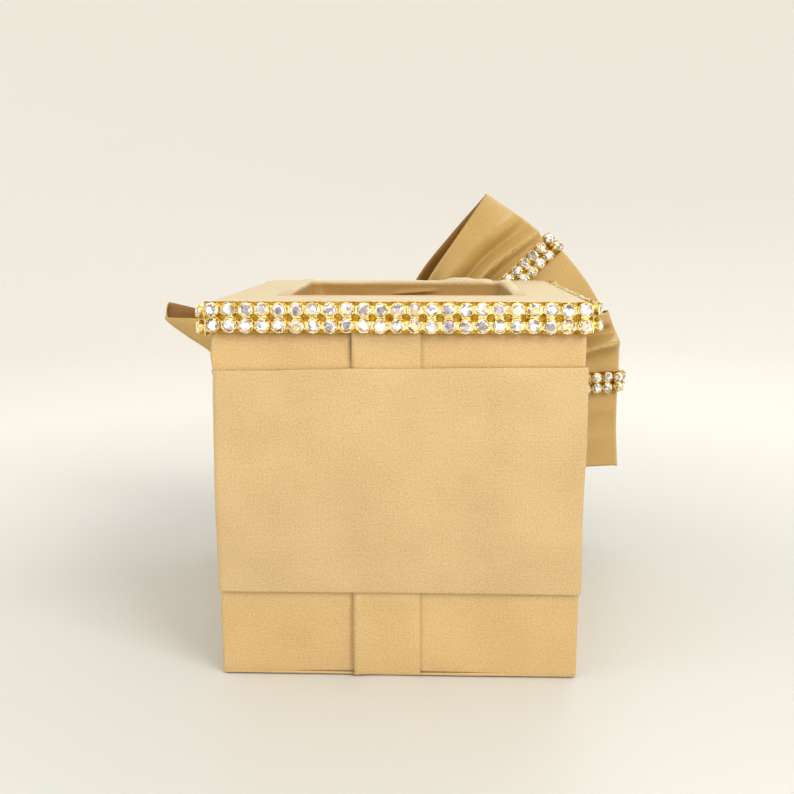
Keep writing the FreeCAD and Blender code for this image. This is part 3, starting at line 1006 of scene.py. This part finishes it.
def makeOpening():  # one strip of cloth: from the lid, over the raised rim, down inside
    size = opening
    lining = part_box("opening_lining")
    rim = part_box("opening_rim")
    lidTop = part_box("lid_satin")[1].z
    holeX, holeY = lining[1].x - size["inset"], lining[1].y - size["inset"]
    width = rim[1].x - holeX
    rise = rim[1].z - lidTop
    base, outs = roundedPath(holeX, holeY, size["corner"], 60, 9)
    x, y = base[:, 0], base[:, 1]
    run = lengthsAlong(base, True)[:-1]
    uneven = size["uneven"] * (drift(run, 0, 61, 42 * mm) + 0.45 * drift(run, 0, 64, 9 * mm))
    place, spread, height = size["swell"]
    swell = height * bump(x, place, spread) * (y > holeY * 0.9)
    raised = 0.15 + 0.95 * ease(-holeY, holeY * 0.6, y)
    atCorner = bump(x, holeX, 7 * mm) * (y > -holeY * 0.9)
    pucker = size["pucker"] * np.sin(y * math.tau / (6.5 * mm) + 0.8) * atCorner
    rows = []
    for a in np.linspace(0, math.pi * size["rimTurn"], 13):
        out = width * (1 + math.cos(a)) / 2
        lift = (rise * 1.1 + uneven + swell + pucker) * raised * math.sin(a) ** 0.8
        path = roundedPath(holeX + out, holeY + out, size["corner"] + out * 0.2, 60, 9)[0]
        rows.append(np.column_stack([path, lidTop - 0.05 * mm + lift]))
    drop = lidTop - lining[0].z
    creaseHeight, creasePlace, creaseDepth = size["crease"]
    creaseLine = creaseHeight + (x - creasePlace) * 0.07
    nearCrease = np.exp(-((x - creasePlace) / (8 * mm)) ** 4) * (outs[:, 1] > 0.9)
    gather = size["gather"][0] * np.abs(np.sin(y * math.pi / size["gather"][1])) * (outs[:, 0] > 0.5)
    for share in np.linspace(0, 1, 28)[1:]:
        z = lidTop - share * drop
        hang = ease(0.05, 0.9, share)
        folds = size["fold"] * hang * (drift(run, share * 18 * mm, 63, 22 * mm) * 0.6 + 0.5)
        folds = folds + size["fineFold"] * hang * (1 + drift(run, share * 6 * mm, 66, 9 * mm))
        tuck = size["tuck"][0] * bump(run, run.max() * 0.06 + share * 9 * mm, size["tuck"][1]) * hang
        crease = creaseDepth * bump(z, creaseLine, 0.6 * mm) * nearCrease
        inward = (0.1 * mm + folds + tuck + crease + gather * hang)[:, None]
        corner = size["corner"] + size["soften"] * float(hang)
        soft, softOuts = roundedPath(holeX, holeY, corner, 60, 9)
        rows.append(np.column_stack([soft - softOuts * inward, np.full(len(base), z)]))
    grid = np.array(rows)[::-1]
    piece = clothMesh("openingCloth", grid, sheetUv(grid), closed=True)
    thicken(piece, size["cloth"])
    dress(piece, "lid", openingSatin, "opening_satin", "opening_rim", "opening_lining")


makeLidCover()
makeOpening()
print("lid covered")


knotLow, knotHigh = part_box("bow_knot")
knotX, knotZ = (knotLow.x + knotHigh.x) / 2, (knotLow.z + knotHigh.z) / 2

bow = {
    "ribbonWidth": 76.2 * mm,
    "cloth": 0.35 * mm,
    "alongRows": 74,
    "foldRows": 11,
    "acrossRows": 72,
    "pleats": 7.0,
    "gather": 0.85,
    "rootShare": 0.55,  # how far the loops close in on the knot's centre at their roots
    "apart": 0.5 * mm,  # least distance of each leaf from the loop's middle
    "apartSoft": 0.7 * mm,
    "soft": 0.30 * mm,
    "bandStart": 17.0 * mm,
}

# Places are millimetres (x, z) from the knot's centre, seen along +Y. upperNear and upperFar are the
# ribbon's upper selvedge on the leaf beside the box and on the outer leaf; the fold runs downwards.
# A ridge is its place at the root, at the fold, its spread, height, reach, the side of its hollow and
# the hollow's depth.
loops = {
    "upperRight": {
        "node": "upper_right", "seed": 3, "belly": 6.2, "foldDepth": 1.3, "foldOut": 1.0, "middle": 0.50,
        "upperNear": [(-5.0, 11.0), (4.5, 32.0), (12.6, 51.3), (25.0, 70.0), (38.8, 90.1)],
        "upperFar": [(-7.5, 12.0), (0.4, 34.0), (8.6, 53.2), (23.0, 71.8), (38.8, 90.1)],
        "fold": [(38.8, 90.1), (60.1, 75.6), (64.5, 70.5), (72.8, 65.2), (84.5, 51.5), (92.6, 38.5)],
        "lower": [(6.0, -8.0), (30.0, 4.0), (62.0, 20.0), (92.6, 38.5)],
        "ridges": [
            (0.38, 0.25, 0.080, 6.6, 1.6, 1, 0.60), (0.15, 0.11, 0.055, 2.4, 1.6, 1, 0.4),
            (0.76, 0.62, 0.10, 1.4, 1.1, -1, 0.6), (-0.50, -0.40, 0.25, 1.6, 1.0, -1, 0.6),
        ],
    },
    "lowerLeft": {
        "node": "lower_left", "seed": 4, "belly": 6.5, "foldDepth": 2.4, "foldOut": 2.0, "middle": 0.52,
        "upperNear": [(-5.0, 9.0), (-40.0, 5.0), (-79.0, -3.0)],
        "upperFar": [(-5.0, 9.0), (-40.0, 6.0), (-79.0, -3.0)],
        "fold": [(-79.0, -3.0), (-78.0, -20.0), (-76.0, -34.0), (-66.0, -52.0), (-53.0, -67.0)],
        "lower": [(4.0, -10.0), (-22.0, -34.0), (-53.0, -67.0)],
        "ridges": [(0.4, 0.45, 0.2, 2.2, 1.0, -1, 0.7), (-0.35, -0.4, 0.25, 1.8, 1.0, 1, 0.7)],
    },
    "right": {
        "node": "right", "seed": 5, "belly": 6.8, "foldDepth": 3.0, "foldOut": 2.4, "middle": 0.45,
        "bandStart": 8.0 * mm,
        "upperNear": [(6.0, 10.0), (40.0, 24.0), (75.0, 34.0), (98.6, 36.0)],
        "upperFar": [(6.0, 10.0), (40.0, 25.0), (75.0, 35.0), (98.6, 36.0)],
        "fold": [
            (98.6, 36.0), (101.6, 28.0), (104.2, 20.8), (104.5, 8.0),
            (104.2, -3.0), (104.4, -21.0), (105.6, -39.6),
        ],
        "lower": [(6.0, -10.0), (40.0, -27.0), (75.0, -38.5), (105.6, -39.6)],
        "ridges": [
            (0.46, 0.60, 0.074, 8.4, 1.8, 1, 0.95),
            (-0.30, -0.26, 0.14, 1.4, 1.6, -1, 0.8), (-0.66, -0.62, 0.14, 1.0, 1.6, 1, 0.8),
        ],
    },
    "left": {
        "node": "left", "seed": 6, "belly": 6.8, "foldDepth": 4.0, "foldOut": 1.2, "middle": 0.62,
        "upperNear": [(-6.0, 10.5), (-50.0, 25.0), (-88.0, 31.6), (-111.0, 32.4)],
        "upperFar": [(-6.0, 10.5), (-50.0, 26.0), (-90.0, 33.6), (-114.0, 39.4)],
        "fold": [
            (-114.2, 39.4), (-114.2, 35.6), (-113.8, 32.6), (-111.4, 29.6), (-103.0, 23.4),
            (-92.0, 15.6), (-82.0, 3.0), (-76.0, -13.0), (-73.0, -26.0),
        ],
        "nearDrop": (1.6, -6.6),
        "lower": [(-5.0, -9.5), (-40.0, -22.0), (-73.0, -26.0)],
        "ridges": [(0.45, 0.4, 0.20, 1.6, 0.8, -1, 0.7), (-0.4, -0.5, 0.3, 1.6, 0.9, 1, 0.7)],
    },
}


def leafOutline(loop, side, key, fold, lower, away, v):  # flat places of one leaf, rows by columns
    leafRows, wide = bow["alongRows"], bow["acrossRows"]
    inner = fold - away * loop["foldOut"] * mm
    upper = through(loop[key], leafRows) * mm
    drop = np.array(loop.get("nearDrop", (0, 0))) * mm * (side < 0)
    tips = inner + drop * ease(0.78, 1.0, v)[:, None]
    across = ((1 + v) / 2)[:, None]
    start = upper[0] + (lower[0] - upper[0]) * ((1 - v) / 2)[:, None]
    leaf = np.zeros((leafRows, wide, 2))
    for i, t in enumerate(np.linspace(0, 1, leafRows)):
        edges = upper[i] * across + lower[i] * (1 - across)
        ends = start * (1 - t) + tips * t
        flat = (upper[0] * across + lower[0] * (1 - across)) * (1 - t)
        flat = flat + (tips[0] * across + tips[-1] * (1 - across)) * t
        fix = (tips[0] - upper[-1]) * across * t + (tips[-1] - lower[-1]) * (1 - across) * t
        leaf[i] = edges + fix + ends - flat
    return leaf


def ridgeHeight(loop, v, t):  # soft ridges with a hollow on one side, that fade at the root and the tip
    height = np.zeros(len(v))
    for place, atFold, spread, size, reach, under, dip in loop["ridges"]:
        shift = place + (atFold - place) * float(ease(0.70, 1.0, t))
        thin = spread * (0.55 + 0.45 * t)
        run = float(ease(0.05, 0.35, t) * (1 - ease(reach * 0.72, reach, t)))
        crest = np.exp(-np.abs((v - shift) / thin) ** 1.4)
        hollow = dip * bump(v - shift, under * 1.9 * thin, thin)
        height = height + size * mm * run * (crest - hollow)
    return height


def pleatHeight(loop, v, t, width, weights):  # gathers that take up the ribbon's spare width at the knot
    spare = math.sqrt(max(bow["ribbonWidth"] ** 2 - width ** 2, 0.0))
    fade = (1 - ease(0.10, 1.0, t)) ** 0.9
    height = bow["gather"] * spare / (4 * bow["pleats"]) * float(fade)
    phase = v * bow["pleats"] * math.pi + loop["seed"] + 0.9 * np.sin(2.2 * v + loop["seed"])
    wave = np.arcsin(0.96 * np.sin(phase)) * 2 / math.pi
    return wave * height * np.interp(v * 5 + 5, range(12), weights)


def loopSurface(loop):  # rows run from the knot, round the fold and back; columns run across
    leafRows, foldRows, wide = bow["alongRows"], bow["foldRows"], bow["acrossRows"]
    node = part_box("bow_loop_" + loop["node"])
    plane = (node[0].y + node[1].y) / 2
    centre = (knotLow.y + knotHigh.y) / 2
    root = plane + (centre - plane) * bow["rootShare"]
    v = np.linspace(1, -1, wide)  # 1 at the upper selvedge
    fold = through(loop["fold"], wide) * mm
    lower = through(loop["lower"], leafRows) * mm
    away = fold / np.linalg.norm(fold, axis=1)[:, None]
    weights = np.random.default_rng(loop["seed"]).uniform(0.6, 1.25, 12)
    rows = {}
    for side, key in ((-1, "upperNear"), (1, "upperFar")):
        leaf = leafOutline(loop, side, key, fold, lower, away, v)
        depth = np.zeros((leafRows, wide))
        for i, t in enumerate(np.linspace(0, 1, leafRows)):
            pleat = pleatHeight(loop, v, t, np.linalg.norm(leaf[i, 0] - leaf[i, -1]), weights)
            calm = 1 - 0.85 * bump(v, 1 - 2 * loop["middle"], 0.12) * ease(0.15, 0.45, t)
            lens = loop["belly"] * mm * math.sin(math.pi * min(t * 0.94 + 0.03, 1.0)) ** 0.75
            gap = lens + loop["foldDepth"] * mm * t + 1.6 * mm * (1 - t)
            soft = drift(v * 38 * mm, t * 90 * mm, loop["seed"] + 9, 24 * mm) * math.sin(math.pi * t)
            free = gap + ridgeHeight(loop, v, t) * calm + bow["soft"] * soft - bow["apart"]
            stand = bow["apart"] + (free + np.sqrt(free ** 2 + bow["apartSoft"] ** 2)) / 2
            middle = root + (plane - root) * float(ease(0.0, 0.5, t))
            depth[i] = middle + side * stand + pleat * calm
        rows[side] = np.dstack([leaf[:, :, 0], depth, leaf[:, :, 1]])
    arc = []
    near, far = rows[-1][-1], rows[1][-1]
    for a in np.linspace(0, math.pi, foldRows + 2)[1:-1]:
        share = (1 - math.cos(a)) / 2
        ring = near * (1 - share) + far * share
        ring[:, [0, 2]] += away * loop["foldOut"] * mm * math.sin(a)
        arc.append(ring)
    surface = np.concatenate([rows[-1], np.array(arc), rows[1][::-1]])
    surface[:, :, 0] += knotX
    surface[:, :, 2] += knotZ
    return surface


def readAt(at, run, line):  # the point of a line at a distance along it
    return np.array([np.interp(at, run, line[:, k]) for k in range(line.shape[1])])


bowTrim = {"standOff": 0.35 * mm, "shake": 0.07 * mm, "smoothing": 7, "probe": 1.5 * mm}


def loopSites(loop, surface):  # stones along the middle of the loop, out over the fold and back
    column = loop["middle"] * (surface.shape[1] - 1)
    low, share = int(column), column - int(column)
    line = surface[:, low] * (1 - share) + surface[:, low + 1] * share
    sideways = surface[:, max(low - 4, 0)] - surface[:, low + 5]
    window = bowTrim["smoothing"]
    padded = np.pad(line, ((window // 2, window // 2), (0, 0)), "edge")
    smooth = [np.convolve(padded[:, k], np.ones(window) / window, "valid") for k in range(3)]
    smooth = np.array(smooth).T
    run = lengthsAlong(smooth, False)
    starts = loop.get("bandStart", bow["bandStart"])
    pitch = trimSizes["bowPitch"]
    count = int((run[-1] - 2 * starts) / pitch)
    first = starts + (run[-1] - 2 * starts - (count - 1) * pitch) / 2
    rng = np.random.default_rng(loop["seed"] + 40)
    sites = []
    for i in range(count):
        at = first + i * pitch
        place = readAt(at, run, smooth)
        ahead = readAt(at + bowTrim["probe"], run, smooth) - readAt(at - bowTrim["probe"], run, smooth)
        along = ahead / np.linalg.norm(ahead)
        across = readAt(at, run, sideways)
        across[1] = 0
        across = across - along * across.dot(along)
        across = across / np.linalg.norm(across)
        out = np.cross(along, across) * loop["turn"]
        for row in (-0.5, 0.5):
            spot = place + across * row * pitch + out * (bowTrim["standOff"] + trimSizes["lift"])
            spot = spot + rng.normal(0, bowTrim["shake"], 3)
            inward = np.cross(out, along).dot(across) * row < 0
            sites.append((spot, out, along if inward else -along))
    return sites


for loopName, loop in loops.items():
    surface = loopSurface(loop)
    down, right = np.gradient(surface, axis=0), np.gradient(surface, axis=1)
    looks = np.cross(down, right)[10:60, :, 1].mean()
    faced = surface if looks < 0 else surface[:, ::-1]
    title = loopName[0].upper() + loopName[1:]
    piece = shellMesh("loop" + title, faced, sheetUv(faced), bow["cloth"])
    dress(piece, "box", bowSatin, "bow_ribbon", "bow_loop_" + loop["node"])
    loop["turn"] = 1
    sites = loopSites(loop, surface)
    if sites[0][1][1] > 0:  # the first stones are on the leaf beside the box and face it
        loop["turn"] = -1
        sites = loopSites(loop, surface)
    settingNode, stoneNode = "bow_settings_" + loop["node"], "bow_stones_" + loop["node"]
    setTrim("bow" + title, sites, 20 + loop["seed"], "box", settingNode, stoneNode)
print("bow loops made")


knot = {
    "pleats": 5,
    "pleatDepth": 0.8 * mm,
    "edgeIn": 1.6 * mm,
    "waist": 0.6 * mm,
    "corner": 7.5 * mm,
    "cloth": 0.4 * mm,
    "stoneRows": 7,
}


def makeKnot():  # a gathered band of ribbon taken vertically round the bow's pinched middle
    half = (knotHigh - knotLow) / 2
    centre = np.array([knotX, (knotLow.y + knotHigh.y) / 2, knotZ])
    path, outs = roundedPath(half.y, half.z, knot["corner"], 16, 12)
    follow = lengthsAlong(path, True)
    run = follow[:-1]
    rows = []
    for across in np.linspace(-1, 1, 49):
        groove = np.sin(across * knot["pleats"] * math.pi + 0.5 * np.sin(run / (9 * mm)))
        tuck = knot["edgeIn"] * abs(across) ** 5
        waist = knot["waist"] * np.sin(run / run.max() * math.tau * 2)
        ring = path + outs * (knot["pleatDepth"] * groove * 0.6 - tuck - knot["cloth"])[:, None]
        x = centre[0] + across * (half.x + waist)
        rows.append(np.column_stack([x, centre[1] + ring[:, 0], centre[2] + ring[:, 1]]))
    grid = np.array(rows)
    piece = clothMesh("knotWrap", grid, sheetUv(grid), closed=True, flip=True)
    thicken(piece, knot["cloth"])
    dress(piece, "box", bowSatin, "bow_ribbon", "bow_knot")
    pitch = trimSizes["pitch"]
    closed = np.concatenate([path, path[:1]])
    facing = np.concatenate([outs, outs[:1]])
    # the trim covers the side of the knot that faces away from the box, and its top and bottom
    middle = follow[np.argmax(path[:, 0] - abs(path[:, 1]) * 0.01)]
    sites = []
    for i in range(knot["stoneRows"]):
        at = (middle + (i - (knot["stoneRows"] - 1) / 2) * pitch) % follow[-1]
        place = readAt(at, follow, closed)
        out = readAt(at, follow, facing)
        out = out / np.linalg.norm(out)
        outward = np.array([0, out[0], out[1]])
        along = np.array([0, -out[1], out[0]])
        for row in (-0.5, 0.5):
            spot = centre + np.array([row * pitch, place[0], place[1]])
            spot = spot + outward * (knot["cloth"] + trimSizes["lift"])
            side = np.cross(outward, along)[0]
            sites.append((spot, outward, along if side * row < 0 else -along))
    setTrim("knot", sites, 61, "box", "knot_settings", "knot_stones")


makeKnot()
print("knot made")


bowPad = {  # for each ring, how far it stands in from the outline of the plate or the stem, and its depth
    "plate": [(0.9, 0.0), (0.1, 0.6), (0.0, 1.4), (0.35, 2.3), (1.3, 3.0), (3.2, 3.5)],
    "stem": [(-2.4, 3.9), (-0.9, 4.6), (-0.2, 5.6), (0.0, 7.0), (0.7, 7.7)],
    "plateCorner": 7.0 * mm,
    "stemCorner": 5.0 * mm,
    "pucker": 0.25 * mm,
    "fill": 0.8,
}


def makeBowPad():  # satin-covered felt between the band and the knot
    low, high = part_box("bow_pad")
    middle = np.array(((low.x + high.x) / 2, (low.z + high.z) / 2))
    plate = np.array((high.x - low.x, high.z - low.z)) / 2
    stem = np.array((knotHigh.x - knotLow.x, knotHigh.z - knotLow.z)) / 2
    rows = []
    for part, size in (("plate", plate), ("stem", stem)):
        for inset, depth in bowPad[part]:
            halves = size - inset * mm
            path, outs = roundedPath(halves[0], halves[1], bowPad[part + "Corner"], 12, 8)
            pucker = bowPad["pucker"] * drift(path[:, 0], path[:, 1], 71, 17 * mm)
            spread = middle + path + outs * pucker[:, None]
            level = np.full(len(path), low.y + depth * mm)
            rows.append(np.column_stack([spread[:, 0], level, spread[:, 1]]))
    grid = np.array(rows)
    piece = clothMesh("bowPad", grid, sheetUv(grid), closed=True)
    closeEnds(piece, len(grid[0]), ("first", "last"))
    dress(piece, "box", stripSatin, "felt", "bow_pad")


makeBowPad()
print("pad made")


for name, node in nodes.items():
    if node.hide_render:
        continue
    node.data.materials.clear()
    node.data.materials.append(neckPaper if name.startswith("neck_") else chipboard)
print("boards finished")


studio = {
    "flat": 0.9,
    "wall": 1.7,
    "height": 1.4,
    "turns": 96,
    "floorColour": (0.665, 0.670, 0.640),
    "wallColour": (0.90, 0.88, 0.83),
    "world": 0.86,
}


def makeStage():
    profile = [(0.0, 0.0), (studio["flat"] * 0.5, 0.0), (studio["flat"], 0.0)]
    for a in np.linspace(0, math.pi / 2, 17)[1:]:
        bend = studio["wall"] - studio["flat"]
        profile.append((studio["flat"] + bend * math.sin(a), bend * (1 - math.cos(a))))
    profile.append((studio["wall"], studio["height"]))
    turns = np.linspace(0, math.tau, studio["turns"], endpoint=False)
    grid = np.array([[(r * math.cos(t), r * math.sin(t), z) for t in turns] for r, z in profile])
    floor = clothMesh("floor", grid, sheetUv(grid), closed=True)
    floor.data.materials.append(stageMaterial())


def stageMaterial():
    material, tree, shader = newMaterial("paleStage")
    shader.inputs["Roughness"].default_value = 0.40
    shader.inputs["Specular IOR Level"].default_value = 0.4
    place = tree.nodes.new("ShaderNodeTexCoord")
    tone = noiseNode(tree, place, "Object", 2.5)
    away = tree.nodes.new("ShaderNodeVectorMath")
    away.operation = "LENGTH"
    link(tree, place, "Object", away, 0)
    rise = mathNode(tree, "MULTIPLY_ADD", tone.outputs["Fac"], 0.08, away.outputs["Value"])
    ramp = rampOf(tree, [(0.20, studio["floorColour"]), (0.52, studio["wallColour"])])
    tree.links.new(rise, ramp.inputs["Fac"])
    link(tree, ramp, "Color", shader, "Base Color")
    return material


def softLight(name, place, aim, size, power, colour):
    light = bpy.data.lights.new(name, "AREA")
    light.shape = "SQUARE"
    light.size = size
    light.energy = power
    light.color = colour
    lamp = bpy.data.objects.new(name, light)
    lamp.location = place
    lamp.rotation_euler = (Vector(aim) - Vector(place)).to_track_quat("-Z", "Y").to_euler()
    bpy.context.scene.collection.objects.link(lamp)


view = {"lens": 45.28, "sensor": 36, "place": (0.01025, -0.3820, 0.1516), "yaw": -1.93, "pitch": 9.71}


def makeCamera():
    data = bpy.data.cameras.new("camera")
    data.lens = view["lens"]
    data.sensor_width = view["sensor"]
    camera = bpy.data.objects.new("camera", data)
    yaw, pitch = math.radians(view["yaw"]), math.radians(view["pitch"])
    level = math.cos(pitch)
    look = Vector((math.sin(yaw) * level, math.cos(yaw) * level, -math.sin(pitch)))
    camera.location = view["place"]
    camera.rotation_euler = look.to_track_quat("-Z", "Y").to_euler()
    bpy.context.scene.collection.objects.link(camera)
    bpy.context.scene.camera = camera


lights = {  # place, aim, size, power, colour
    "key": ((0.58, -0.66, 0.82), (0, 0, 0.07), 0.50, 6.7, (1.0, 0.97, 0.93)),
    "fill": ((-0.75, -0.45, 0.45), (0, 0, 0.07), 0.7, 1.6, (1.0, 0.98, 0.96)),
    "behind": ((0.25, 0.75, 0.85), (0, 0, 0.07), 0.6, 1.8, (1.0, 0.98, 0.95)),
    "low": ((0.05, -0.85, 0.16), (0, 0, 0.03), 0.5, 0.80, (1.0, 0.95, 0.86)),
}


def makeLight():
    for name, setup in lights.items():
        softLight(name, *setup)
    world = bpy.data.worlds.new("studio")
    world.use_nodes = True
    background = world.node_tree.nodes["Background"]
    background.inputs["Color"].default_value = (1.0, 0.985, 0.96, 1)
    background.inputs["Strength"].default_value = studio["world"]
    bpy.context.scene.world = world
    bpy.context.scene.view_settings.view_transform = "Standard"


makeStage()
makeLight()
makeCamera()
print("stage, lights and camera ready")
